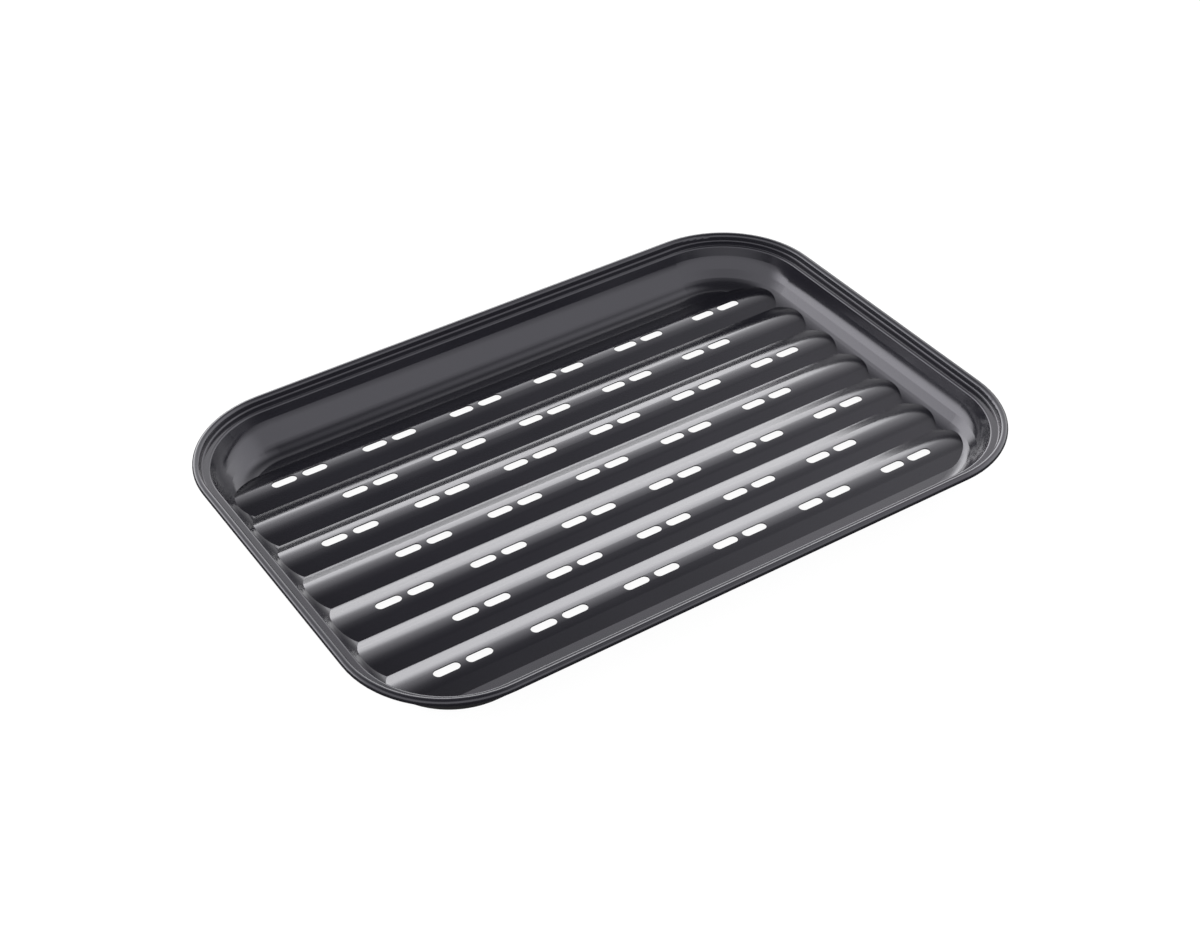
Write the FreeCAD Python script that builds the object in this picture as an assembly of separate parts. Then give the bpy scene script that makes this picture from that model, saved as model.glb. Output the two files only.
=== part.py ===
import FreeCAD, Part
import math
import os

os.makedirs("parts", exist_ok=True)

# A ribbed, slotted baking tray: one pressed steel sheet with its edge rolled round a steel wire.
# Millimetres, +Z up, +X along the ribs. The origin is the middle of the footprint, on the surface
# that the tray stands on. The section of its side is drawn by inset, measured inwards from the
# outside of the rolled edge, and by height above that surface.

# Overall sizes, over the rolled edge
overall_length = 345.0
overall_width = 240.0
overall_height = 24.0
corner_radius = 52.5

# The sheet, and the wire in its rolled edge
sheet_thickness = 0.6
wire_diameter = 2.5
wire_end_gap = 0.5
curl_angle = 295.0

# The ledge inside the rolled edge, and the side wall: steep below the ledge, then gentler
ledge_drop = 4.2
ledge_width = 4.2
ledge_bend_radius = 1.0
shoulder_radius = 1.2
upper_wall_angle = 72.0
upper_wall_drop = 8.5
wall_bend_radius = 20.0
lower_wall_angle = 52.0
floor_bend_radius = 11.0

# The ribs of the floor. Each one is drawn down to the floor, so neighbours wider than the pitch
# meet in a sharp valley just above it.
rib_pitch = 25.5
rib_base_width = 28.0
rib_height = 3.0
rib_flank_angle = 16.0
rib_side_clearance = 1.0

# The drain slots, in pairs along the crest of each rib
slot_length = 12.8
slot_width = 4.8
slot_spacing = 16.1
slot_pair_pitch = 48.4
slot_row_clearance = 1.0

# Heights and insets of the side section
wire_radius = wire_diameter / 2
bead_radius = wire_radius + sheet_thickness
bead_height = overall_height - bead_radius
upright_inset = 2 * bead_radius
ledge_height = overall_height - ledge_drop
wall_top_inset = upright_inset + ledge_width
upper_wall_slope = math.tan(math.radians(upper_wall_angle))
lower_wall_slope = math.tan(math.radians(lower_wall_angle))
wall_corner_height = ledge_height - upper_wall_drop
wall_corner_inset = wall_top_inset + upper_wall_drop / upper_wall_slope
lower_wall_run = (wall_corner_height - sheet_thickness) / lower_wall_slope
half_floor_bend = math.tan(math.radians(lower_wall_angle) / 2)
floor_inset = wall_corner_inset + lower_wall_run + floor_bend_radius * half_floor_bend

# The ribs and slot pairs that the flat of the floor has room for
floor_length = overall_length - 2 * floor_inset
floor_width = overall_width - 2 * floor_inset
rib_centre_span = floor_width - rib_base_width - 2 * rib_side_clearance
rib_count = 1 + int(rib_centre_span / rib_pitch)
slot_pair_length = slot_spacing + slot_length
slot_row_length = floor_length - 2 * slot_row_clearance
long_row_pairs = 1 + int((slot_row_length - slot_pair_length) / slot_pair_pitch)

ORIGIN = FreeCAD.Vector(0, 0, 0)
ALONG_RIBS = FreeCAD.Vector(1, 0, 0)
UP = FreeCAD.Vector(0, 0, 1)


def section_point(inset, height):
    """A point of the side section, drawn from the centre of a corner with its radius along +X."""
    return FreeCAD.Vector(corner_radius - inset, 0, height)


def heading(angle):
    """The direction at an angle in degrees, turned from +X towards +Z."""
    turn = math.radians(angle)
    return FreeCAD.Vector(math.cos(turn), 0, math.sin(turn))


def bend_edge(centre, radius, start_angle, end_angle):
    """The arc of a bend from one angle to another."""
    middle_angle = (start_angle + end_angle) / 2
    angles = (start_angle, middle_angle, end_angle)
    return Part.Arc(*[centre + heading(angle) * radius for angle in angles]).toShape()


def face_inside(edges):
    """The face inside a loop of edges, with a straight edge across each gap between two of them."""
    loop = []
    for edge, next_edge in zip(edges, edges[1:] + edges[:1]):
        end = edge.valueAt(edge.LastParameter)
        next_start = next_edge.valueAt(next_edge.FirstParameter)
        loop += [edge, Part.makeLine(end, next_start)]
    return Part.Face(Part.Wire(loop))


def wall_bend_centre():
    """The centre of the bend between the steep and the gentler part of the side wall."""
    wall_corner = section_point(wall_corner_inset, wall_corner_height)
    half_turn = math.radians(upper_wall_angle - lower_wall_angle) / 2
    bend_end = wall_corner + heading(upper_wall_angle) * (wall_bend_radius * math.tan(half_turn))
    return bend_end + heading(upper_wall_angle + 90) * wall_bend_radius


def side_bends():
    """Each bend of the sheet from the floor outwards: centre, the two radii, and the two angles."""
    floor_bend = section_point(floor_inset, sheet_thickness + floor_bend_radius)
    half_shoulder = math.tan(math.radians(upper_wall_angle) / 2)
    shoulder_inset = wall_top_inset - shoulder_radius * half_shoulder
    shoulder = section_point(shoulder_inset, ledge_height - shoulder_radius)
    ledge_bend = section_point(upright_inset + ledge_bend_radius, ledge_height + ledge_bend_radius)
    bead = section_point(bead_radius, bead_height)
    floor_radii = (floor_bend_radius, floor_bend_radius + sheet_thickness)
    wall_radii = (wall_bend_radius, wall_bend_radius + sheet_thickness)
    return [
        (floor_bend, *floor_radii, -90, lower_wall_angle - 90),
        (wall_bend_centre(), *wall_radii, lower_wall_angle - 90, upper_wall_angle - 90),
        (shoulder, shoulder_radius, shoulder_radius - sheet_thickness, upper_wall_angle + 90, 90),
        (ledge_bend, ledge_bend_radius, ledge_bend_radius + sheet_thickness, -90, 0),
        (bead, bead_radius, wire_radius, 180, 180 - curl_angle),
    ]


def side_section():
    """The sheet's section from the flat of the floor to the end of the curl."""
    upper = [bend_edge(centre, radius, start, end) for centre, radius, _, start, end in side_bends()]
    lower = [bend_edge(centre, radius, end, start) for centre, _, radius, start, end in side_bends()]
    return face_inside(upper + lower[::-1])


def swept_round(section):
    """The solid that a section makes on its way round the four corners and four sides."""
    half_length = overall_length / 2 - corner_radius
    half_width = overall_width / 2 - corner_radius
    signs = [(1, 1), (-1, 1), (-1, -1), (1, -1)]
    centres = [FreeCAD.Vector(x_side * half_length, y_side * half_width, 0) for x_side, y_side in signs]
    runs = []
    for quarter, centre in enumerate(centres):
        start = section.copy()
        start.rotate(ORIGIN, UP, 90 * quarter)
        start.translate(centre)
        end = start.copy()
        end.rotate(centre, UP, 90)
        next_centre = centres[(quarter + 1) % len(centres)]
        runs += [start.revolve(centre, UP, 90), end.extrude(next_centre - centre)]
    return runs[0].fuse(runs[1:]).removeSplitter()


def floor_plate():
    """The flat of the floor, before its ribs are raised."""
    corner = FreeCAD.Vector(-floor_length / 2, -floor_width / 2, 0)
    plate = Part.makeBox(floor_length, floor_width, sheet_thickness, corner)
    upright_edges = [edge for edge in plate.Edges if edge.BoundBox.ZLength > sheet_thickness / 2]
    return plate.makeFillet(corner_radius - floor_inset, upright_edges)


def rib_bar(half_width, base_height, rib_y):
    """A solid bar under a rib's arc and its two tangent flanks, longer than the floor."""
    flank = math.radians(rib_flank_angle)
    crest_radius = (half_width * math.tan(flank) - rib_height) / (1 / math.cos(flank) - 1)
    crest_centre = FreeCAD.Vector(0, rib_y, base_height + rib_height - crest_radius)
    spokes = [FreeCAD.Vector(0, math.sin(turn), math.cos(turn)) for turn in (flank, 0, -flank)]
    crest = Part.Arc(*[crest_centre + spoke * crest_radius for spoke in spokes]).toShape()
    foot = Part.makeLine(
        FreeCAD.Vector(0, rib_y - half_width, base_height),
        FreeCAD.Vector(0, rib_y + half_width, base_height),
    )
    bar = face_inside([crest, foot]).extrude(ALONG_RIBS * overall_length)
    bar.translate(ALONG_RIBS * (-overall_length / 2))
    return bar


def rib_positions():
    """The distance of each rib's crest from the middle of the tray, near side first."""
    return [(rib - (rib_count - 1) / 2) * rib_pitch for rib in range(rib_count)]


def part_inside(bar, pan):
    """The length of a bar that lies between the end walls of the pan."""
    return max(bar.cut(pan).Solids, key=lambda solid: solid.Volume)


def slot_hole(slot_x, slot_y):
    """The punched shape of one slot, with round ends."""
    end_radius = slot_width / 2
    straight = slot_length - slot_width
    corner = FreeCAD.Vector(slot_x - straight / 2, slot_y - end_radius, 0)
    hole = Part.makeBox(straight, slot_width, overall_height, corner)
    for end_x in (slot_x - straight / 2, slot_x + straight / 2):
        end_centre = FreeCAD.Vector(end_x, slot_y, 0)
        hole = hole.fuse(Part.makeCylinder(end_radius, overall_height, end_centre))
    return hole


def slot_holes():
    """Every slot: the outer ribs have the long rows, and every other rib has one pair fewer."""
    holes = []
    for rib, rib_y in enumerate(rib_positions()):
        pairs = long_row_pairs - rib % 2
        for pair in range(pairs):
            pair_x = (pair - (pairs - 1) / 2) * slot_pair_pitch
            holes += [slot_hole(pair_x + side * slot_spacing / 2, rib_y) for side in (-1, 1)]
    return holes


def pressed_sheet():
    """The whole sheet: floor with ribs and slots, side walls, ledge and rolled edge."""
    pan = swept_round(side_section()).fuse(floor_plate()).removeSplitter()
    upper_half_width = rib_base_width / 2
    lower_half_width = upper_half_width - sheet_thickness * math.tan(math.radians(rib_flank_angle) / 2)
    raised = [part_inside(rib_bar(upper_half_width, sheet_thickness, y), pan) for y in rib_positions()]
    hollow = [rib_bar(lower_half_width, 0, y) for y in rib_positions()]
    ribbed = pan.fuse(raised).cut(hollow).removeSplitter()
    return ribbed.cut(slot_holes())


def edge_wire():
    """The wire loop inside the rolled edge, with its two ends meeting halfway along one side."""
    middle = section_point(bead_radius, bead_height)
    circle = Part.makeCircle(wire_radius, middle, FreeCAD.Vector(0, 1, 0))
    loop = swept_round(Part.Face(Part.Wire(circle)))
    gap_y = overall_width / 2 - upright_inset
    corner = FreeCAD.Vector(-wire_end_gap / 2, gap_y, bead_height - bead_radius)
    return loop.cut(Part.makeBox(wire_end_gap, upright_inset, upright_inset, corner))


def save(name, shape):
    """Write one piece, which has to be a single closed solid."""
    if len(shape.Solids) != 1 or not shape.isValid():
        raise ValueError(f"{name} isn't one valid solid")
    shape.Solids[0].exportStep(f"parts/{name}.step")


save("pressed_sheet", pressed_sheet())
save("edge_wire", edge_wire())
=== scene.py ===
"""Looks of the ribbed, slotted baking tray: its coated sheet, edge wire, floor and studio."""

import logging
import math
from dataclasses import dataclass
from enum import Enum

import bpy
from mathutils import Matrix, Vector

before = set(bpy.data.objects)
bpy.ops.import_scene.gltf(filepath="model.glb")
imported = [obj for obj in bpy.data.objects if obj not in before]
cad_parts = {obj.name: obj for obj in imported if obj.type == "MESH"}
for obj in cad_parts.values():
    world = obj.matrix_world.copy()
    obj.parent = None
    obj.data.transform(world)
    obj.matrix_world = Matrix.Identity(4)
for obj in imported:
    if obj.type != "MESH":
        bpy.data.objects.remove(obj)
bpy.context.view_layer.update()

LOG = logging.getLogger("ribbed_baking_tray")
MILLIMETRE = 0.001

Colour = tuple[float, float, float]
Stops = tuple[tuple[float, float], ...]


class Piece(Enum):
    """The tray's own pieces, by the names of their CAD nodes."""

    PRESSED_SHEET = "pressed_sheet"
    EDGE_WIRE = "edge_wire"


class Reach(Enum):
    """How a direction or place is scaled along each axis before it is used."""

    LENGTHWISE = (0.04, 1.0, 1.0)
    LEVEL = (1.0, 1.0, 0.0)


def opaque(colour: Colour) -> tuple[float, float, float, float]:
    """Give a colour full opacity.

    Args:
        colour: The colour.

    Returns:
        The colour with its opacity.
    """
    return (*colour, 1.0)


class NodeBench:
    """A short way to lay out and join the nodes of one node tree."""

    def __init__(self, tree: bpy.types.NodeTree) -> None:
        """Take hold of a node tree.

        Args:
            tree: The tree that the nodes go into.
        """
        self.tree = tree

    def add(self, kind: str, **settings: object) -> bpy.types.Node:
        """Add a node.

        Args:
            kind: The node's type name.
            settings: Properties of the node to set.

        Returns:
            The new node.
        """
        node = self.tree.nodes.new(kind)
        for name, value in settings.items():
            setattr(node, name, value)
        return node

    def feed(self, node: bpy.types.Node, **inputs: object) -> bpy.types.Node:
        """Set or join a node's inputs.

        Args:
            node: The node to feed.
            inputs: A value or an output socket for each input, by name with _ for a space.

        Returns:
            The same node.
        """
        for name, value in inputs.items():
            socket = node.inputs[name.replace("_", " ")]
            if isinstance(value, bpy.types.NodeSocket):
                self.tree.links.new(value, socket)
            else:
                socket.default_value = value
        return node

    def math(self, operation: str, *values: object) -> bpy.types.NodeSocket:
        """Combine numbers.

        Args:
            operation: The Math node's operation.
            values: A number or an output socket for each input in turn.

        Returns:
            The result's socket.
        """
        node = self.add("ShaderNodeMath", operation=operation)
        for socket, value in zip(node.inputs, values):
            if isinstance(value, bpy.types.NodeSocket):
                self.tree.links.new(value, socket)
            else:
                socket.default_value = value
        return node.outputs[0]

    def span(self, value: bpy.types.NodeSocket, low: float, high: float) -> bpy.types.NodeSocket:
        """Spread a value of 0 to 1 over a range.

        Args:
            value: The socket with the value.
            low: What 0 becomes.
            high: What 1 becomes.

        Returns:
            The result's socket.
        """
        node = self.add("ShaderNodeMapRange")
        self.feed(node, Value=value, To_Min=low, To_Max=high)
        return node.outputs["Result"]

    def dot(self, way: bpy.types.NodeSocket, axis: Colour) -> bpy.types.NodeSocket:
        """Find how far a direction goes along an axis.

        Args:
            way: The socket with the direction.
            axis: The axis, a unit vector.

        Returns:
            The result's socket.
        """
        node = self.add("ShaderNodeVectorMath", operation="DOT_PRODUCT")
        self.tree.links.new(way, node.inputs[0])
        node.inputs[1].default_value = axis
        return node.outputs["Value"]

    def scaled(self, value: bpy.types.NodeSocket, reach: Reach) -> bpy.types.NodeSocket:
        """Scale a direction or place along each axis.

        Args:
            value: The socket with the direction or place.
            reach: The scale along each axis.

        Returns:
            The result's socket.
        """
        node = self.add("ShaderNodeVectorMath", operation="MULTIPLY")
        self.tree.links.new(value, node.inputs[0])
        node.inputs[1].default_value = reach.value
        return node.outputs[0]

    def curve(self, value: bpy.types.NodeSocket, stops: Stops) -> bpy.types.NodeSocket:
        """Turn a value into a level by a smooth curve.

        Args:
            value: The socket with the value.
            stops: Each stop's position and level.

        Returns:
            The level's socket.
        """
        highest = max(level for _, level in stops)
        node = self.add("ShaderNodeValToRGB")
        elements = node.color_ramp.elements
        elements.remove(elements[1])
        elements[0].position = stops[0][0]
        for position, _ in stops[1:]:
            elements.new(position)
        for element, (_, level) in zip(elements, stops):
            shade = level / highest
            element.color = opaque((shade, shade, shade))
        self.feed(node, Fac=value)
        return self.math("MULTIPLY", node.outputs["Color"], highest)

    def blend(self, mask: bpy.types.NodeSocket, first: Colour, second: Colour) -> bpy.types.NodeSocket:
        """Mix two colours.

        Args:
            mask: The socket with the mix, 0 to 1.
            first: The colour at 0.
            second: The colour at 1.

        Returns:
            The mixed colour's socket.
        """
        node = self.add("ShaderNodeMix", data_type="RGBA")
        sockets = {socket.identifier: socket for socket in node.inputs}
        self.tree.links.new(mask, sockets["Factor_Float"])
        sockets["A_Color"].default_value = opaque(first)
        sockets["B_Color"].default_value = opaque(second)
        return next(socket for socket in node.outputs if socket.identifier == "Result_Color")


class Effect:
    """A shader node group with named inputs and outputs, built once and placed where it is used."""

    name = "effect"
    inputs: dict[str, float] = {}
    outputs: tuple[str, ...] = ()

    def __init__(self) -> None:
        """Make the group's sockets and fill it."""
        self.group = bpy.data.node_groups.new(self.name, "ShaderNodeTree")
        face = self.group.interface
        face.new_socket("Place", in_out="INPUT", socket_type="NodeSocketVector")
        for name, value in self.inputs.items():
            socket = face.new_socket(name, in_out="INPUT", socket_type="NodeSocketFloat")
            socket.default_value = value
        for name in self.outputs:
            face.new_socket(name, in_out="OUTPUT", socket_type="NodeSocketFloat")
        bench = NodeBench(self.group)
        entry = bench.add("NodeGroupInput")
        leave = bench.add("NodeGroupOutput")
        for name, socket in self.fill(bench, entry).items():
            self.group.links.new(socket, leave.inputs[name])

    def fill(self, bench: NodeBench, entry: bpy.types.Node) -> dict[str, bpy.types.NodeSocket]:
        """Build the group's nodes.

        Args:
            bench: The bench of the group's tree.
            entry: The node with the group's inputs.

        Returns:
            The socket for each output, by name.
        """
        raise NotImplementedError

    def place(self, bench: NodeBench, place: bpy.types.NodeSocket, **values: float) -> bpy.types.Node:
        """Put the effect into a material.

        Args:
            bench: The bench of the material's tree.
            place: The socket with the point on the surface.
            values: This material's own values for the effect's inputs.

        Returns:
            The group's node.
        """
        node = bench.add("ShaderNodeGroup", node_tree=self.group)
        return bench.feed(node, Place=place, **values)


class CoatingGrain(Effect):
    """The fine orange peel of a sprayed and baked coat, with a flake here and there."""

    name = "coating_grain"
    inputs = {"Peel Density": 1100.0, "Flake Density": 3600.0}
    outputs = ("Height", "Flakes")
    peel_detail = 2.0
    flake_threshold = 0.86

    def fill(self, bench: NodeBench, entry: bpy.types.Node) -> dict[str, bpy.types.NodeSocket]:
        """Build the peel from noise and the flakes from small cells.

        Args:
            bench: The bench of the group's tree.
            entry: The node with the group's inputs.

        Returns:
            The peel's height and the flakes' mask.
        """
        place = entry.outputs["Place"]
        peel = bench.add("ShaderNodeTexNoise")
        bench.feed(peel, Vector=place, Scale=entry.outputs["Peel Density"], Detail=self.peel_detail)
        cells = bench.add("ShaderNodeTexVoronoi")
        bench.feed(cells, Vector=place, Scale=entry.outputs["Flake Density"])
        split = bench.add("ShaderNodeSeparateColor")
        bench.feed(split, Color=cells.outputs["Color"])
        flakes = bench.math("GREATER_THAN", split.outputs[0], self.flake_threshold)
        return {"Height": peel.outputs["Fac"], "Flakes": flakes}


class CloudySheen(Effect):
    """The slow unevenness of a finish, from handling and from the way that it was applied."""

    name = "cloudy_sheen"
    inputs = {"Cloud Density": 26.0, "Streak Density": 160.0}
    outputs = ("Cloud", "Streak")
    cloud_detail = 3.0
    streak_detail = 2.0

    def fill(self, bench: NodeBench, entry: bpy.types.Node) -> dict[str, bpy.types.NodeSocket]:
        """Build clouds from even noise and streaks from noise drawn out along the tray.

        Args:
            bench: The bench of the group's tree.
            entry: The node with the group's inputs.

        Returns:
            The clouds' and the streaks' level.
        """
        place = entry.outputs["Place"]
        cloud = bench.add("ShaderNodeTexNoise")
        cloud_density = entry.outputs["Cloud Density"]
        bench.feed(cloud, Vector=place, Scale=cloud_density, Detail=self.cloud_detail)
        drawn = bench.scaled(place, Reach.LENGTHWISE)
        streak = bench.add("ShaderNodeTexNoise")
        streak_density = entry.outputs["Streak Density"]
        bench.feed(streak, Vector=drawn, Scale=streak_density, Detail=self.streak_detail)
        return {"Cloud": cloud.outputs["Fac"], "Streak": streak.outputs["Fac"]}


@dataclass(frozen=True)
class Effects:
    """The effects that the finishes share."""

    grain: CoatingGrain
    sheen: CloudySheen


@dataclass(frozen=True)
class Finish:
    """A surface finish: two close colours, a range of roughness, and a depth of texture."""

    name: str
    dark: Colour
    light: Colour
    smooth: float
    rough: float
    metallic: float
    ior: float
    texture_depth: float
    peel_density: float
    flake_density: float
    flake_gloss: float
    gloss_tint: Colour = (1.0, 1.0, 1.0)
    flake_tone: float = 0.35
    cloud_share: float = 0.5

    def material(self, effects: Effects) -> bpy.types.Material:
        """Make the finish's material.

        Args:
            effects: The effects that the finishes share.

        Returns:
            The material.
        """
        material = bpy.data.materials.new(self.name)
        material.use_nodes = True
        bench = NodeBench(material.node_tree)
        shader = material.node_tree.nodes["Principled BSDF"]
        place = bench.add("ShaderNodeTexCoord").outputs["Object"]
        grain = effects.grain.place(
            bench, place, Peel_Density=self.peel_density, Flake_Density=self.flake_density
        )
        sheen = effects.sheen.place(bench, place)
        flakes = grain.outputs["Flakes"]
        mottle = bench.math("MULTIPLY_ADD", flakes, self.flake_tone, sheen.outputs["Cloud"])
        colour = bench.blend(mottle, self.dark, self.light)
        uneven = bench.math("ADD", sheen.outputs["Cloud"], sheen.outputs["Streak"])
        level = bench.math("MULTIPLY", uneven, self.cloud_share)
        dull = bench.span(level, self.smooth, self.rough)
        roughness = bench.math("MULTIPLY_ADD", flakes, -self.flake_gloss, dull)
        bump = bench.add("ShaderNodeBump")
        bench.feed(bump, Strength=1.0, Distance=self.texture_depth, Height=grain.outputs["Height"])
        bench.feed(
            shader,
            Base_Color=colour,
            Roughness=roughness,
            Metallic=self.metallic,
            IOR=self.ior,
            Specular_Tint=opaque(self.gloss_tint),
            Normal=bump.outputs["Normal"],
        )
        return material


COATED_SHEET = Finish(
    name="coated_sheet",
    dark=(0.0060, 0.0058, 0.0085),
    light=(0.0090, 0.0087, 0.0120),
    smooth=0.11,
    rough=0.19,
    metallic=0.0,
    ior=1.5,
    texture_depth=0.001 * MILLIMETRE,
    peel_density=1100.0,
    flake_density=3600.0,
    flake_gloss=0.015,
    gloss_tint=(0.93, 0.915, 1.0),
)

BARE_WIRE = Finish(
    name="edge_wire",
    dark=(0.42, 0.42, 0.43),
    light=(0.60, 0.60, 0.61),
    smooth=0.25,
    rough=0.45,
    metallic=1.0,
    ior=1.5,
    texture_depth=0.003 * MILLIMETRE,
    peel_density=1500.0,
    flake_density=2400.0,
    flake_gloss=0.04,
)


@dataclass
class TrayPart:
    """One piece of the tray that keeps its CAD shape and gets its finish here."""

    piece: Piece
    finish: Finish

    def dress(self, effects: Effects) -> bpy.types.Object:
        """Give the piece its finish.

        Args:
            effects: The effects that the finishes share.

        Returns:
            The piece's object.
        """
        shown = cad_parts[self.piece.value]
        shown.data.materials.clear()
        shown.data.materials.append(self.finish.material(effects))
        LOG.info("%s: finish %s", shown.name, self.finish.name)
        return shown


@dataclass
class PaleFloor:
    """A plain pale floor under the tray, which glows for the camera only so that it stays pale."""

    half_side: float = 6.0
    gap: float = 0.05 * MILLIMETRE
    squares: int = 24
    tone: float = 0.06
    tone_spread: float = 0.03
    cloud_density: float = 3.0
    roughness: float = 0.9
    glow: float = 0.95
    glow_colour: Colour = (1.0, 1.0, 1.0)

    def build(self, effects: Effects) -> bpy.types.Object:
        """Make the floor.

        Args:
            effects: The effects that the finishes share.

        Returns:
            The floor's object.
        """
        step = 2 * self.half_side / self.squares
        count = self.squares + 1
        points = [
            (column * step - self.half_side, row * step - self.half_side, -self.gap)
            for row in range(count)
            for column in range(count)
        ]
        starts = [row * count + column for row in range(self.squares) for column in range(self.squares)]
        faces = [(start, start + 1, start + count + 1, start + count) for start in starts]
        mesh = bpy.data.meshes.new("pale_floor")
        mesh.from_pydata(points, [], faces)
        mesh.materials.append(self.material(effects))
        floor = bpy.data.objects.new("pale_floor", mesh)
        bpy.context.scene.collection.objects.link(floor)
        LOG.info("%s: %d squares", floor.name, len(faces))
        return floor

    def material(self, effects: Effects) -> bpy.types.Material:
        """Make the floor's material.

        Args:
            effects: The effects that the finishes share.

        Returns:
            The material.
        """
        material = bpy.data.materials.new("pale_floor")
        material.use_nodes = True
        bench = NodeBench(material.node_tree)
        shader = material.node_tree.nodes["Principled BSDF"]
        place = bench.add("ShaderNodeTexCoord").outputs["Object"]
        sheen = effects.sheen.place(bench, place, Cloud_Density=self.cloud_density)
        darkest = self.tone * (1.0 - self.tone_spread)
        lightest = self.tone * (1.0 + self.tone_spread)
        tone = bench.span(sheen.outputs["Cloud"], darkest, lightest)
        seen = bench.add("ShaderNodeLightPath").outputs["Is Camera Ray"]
        glow = bench.math("MULTIPLY", seen, self.glow)
        bench.feed(
            shader,
            Base_Color=tone,
            Roughness=self.roughness,
            Emission_Color=opaque(self.glow_colour),
            Emission_Strength=glow,
        )
        return material


@dataclass
class SoftStudio:
    """Pale walls, a dim ceiling, a wide softbox low behind the tray, a lamp and a side panel."""

    walls: Stops = (
        (0.0, 1.05), (0.10, 1.4), (0.22, 2.1), (0.62, 2.1), (0.70, 1.65),
        (0.77, 1.0), (0.84, 0.50), (0.89, 0.27), (1.0, 0.17),
    )
    softbox: Stops = (
        (0.0, 0.0), (0.06, 0.35), (0.18, 3.5), (0.37, 4.2), (0.46, 1.8), (0.54, 0.6), (0.62, 0.0)
    )
    lamp: Stops = ((0.93, 0.0), (0.97, 0.6), (1.0, 1.6))
    side_panel: Stops = ((0.0, 0.0), (0.75, 0.0), (0.87, 0.7), (1.0, 1.0))
    softbox_heading: float = -14.0
    softbox_up: Colour = (-0.0378, 0.0218, 0.9990)
    softbox_edge: float = 0.42
    softbox_full: float = 0.76
    lamp_way: Colour = (0.536, -0.095, 0.839)
    side_way: Colour = (0.9366, -0.1651, 0.3090)
    colour: Colour = (1.0, 1.0, 1.0)

    def build(self) -> bpy.types.World:
        """Make the surroundings that light the tray.

        Returns:
            The world.
        """
        world = bpy.data.worlds.new("soft_studio")
        bpy.context.scene.world = world
        world.use_nodes = True
        bench = NodeBench(world.node_tree)
        way = bench.add("ShaderNodeTexCoord").outputs["Generated"]
        split = bench.add("ShaderNodeSeparateXYZ")
        bench.feed(split, Vector=way)
        walls = bench.curve(split.outputs["Z"], self.walls)
        lamp = bench.curve(bench.dot(way, self.lamp_way), self.lamp)
        side = bench.curve(bench.dot(way, self.side_way), self.side_panel)
        rest = bench.math("ADD", bench.math("ADD", walls, lamp), side)
        unit = bench.add("ShaderNodeVectorMath", operation="NORMALIZE")
        bench.tree.links.new(bench.scaled(way, Reach.LEVEL), unit.inputs[0])
        heading = math.radians(self.softbox_heading)
        facing = bench.dot(unit.outputs[0], (math.sin(heading), math.cos(heading), 0.0))
        within = bench.add("ShaderNodeMapRange", interpolation_type="SMOOTHSTEP")
        bench.feed(within, Value=facing, From_Min=self.softbox_edge, From_Max=self.softbox_full)
        softbox = bench.curve(bench.dot(way, self.softbox_up), self.softbox)
        light = bench.math("MULTIPLY_ADD", softbox, within.outputs["Result"], rest)
        background = world.node_tree.nodes["Background"]
        bench.tree.links.new(light, background.inputs["Strength"])
        background.inputs["Color"].default_value = opaque(self.colour)
        LOG.info("%s: softbox heading %.0f degrees", world.name, self.softbox_heading)
        return world


@dataclass
class StudioCamera:
    """The camera: where it stands and the directions of its three axes."""

    stand: Colour = (-0.410906, -0.640164, 0.610548)
    rows: tuple[Colour, Colour, Colour] = (
        (0.84011859, 0.35420924, -0.41077557),
        (-0.54185983, 0.51420307, -0.66481811),
        (-0.02426266, 0.78110884, 0.62392332),
    )
    lens: float = 61.809
    sensor: float = 36.0
    shift_x: float = 0.02122
    clip_start: float = 0.01

    def build(self) -> bpy.types.Object:
        """Make the camera and look through it.

        Returns:
            The camera's object.
        """
        data = bpy.data.cameras.new("studio_camera")
        data.sensor_width = self.sensor
        data.lens = self.lens
        data.shift_x = self.shift_x
        data.clip_start = self.clip_start
        camera = bpy.data.objects.new("studio_camera", data)
        bpy.context.scene.collection.objects.link(camera)
        camera.matrix_world = Matrix.Translation(Vector(self.stand)) @ Matrix(self.rows).to_4x4()
        bpy.context.scene.camera = camera
        LOG.info("%s: %.1f mm lens", camera.name, self.lens)
        return camera


def main() -> None:
    """Build the stage and dress the tray."""
    logging.basicConfig(level=logging.INFO, format="%(message)s")
    bpy.context.scene.view_settings.view_transform = "Standard"
    effects = Effects(grain=CoatingGrain(), sheen=CloudySheen())
    StudioCamera().build()
    SoftStudio().build()
    PaleFloor().build(effects)
    TrayPart(Piece.PRESSED_SHEET, COATED_SHEET).dress(effects)
    TrayPart(Piece.EDGE_WIRE, BARE_WIRE).dress(effects)


if __name__ == "__main__":
    main()
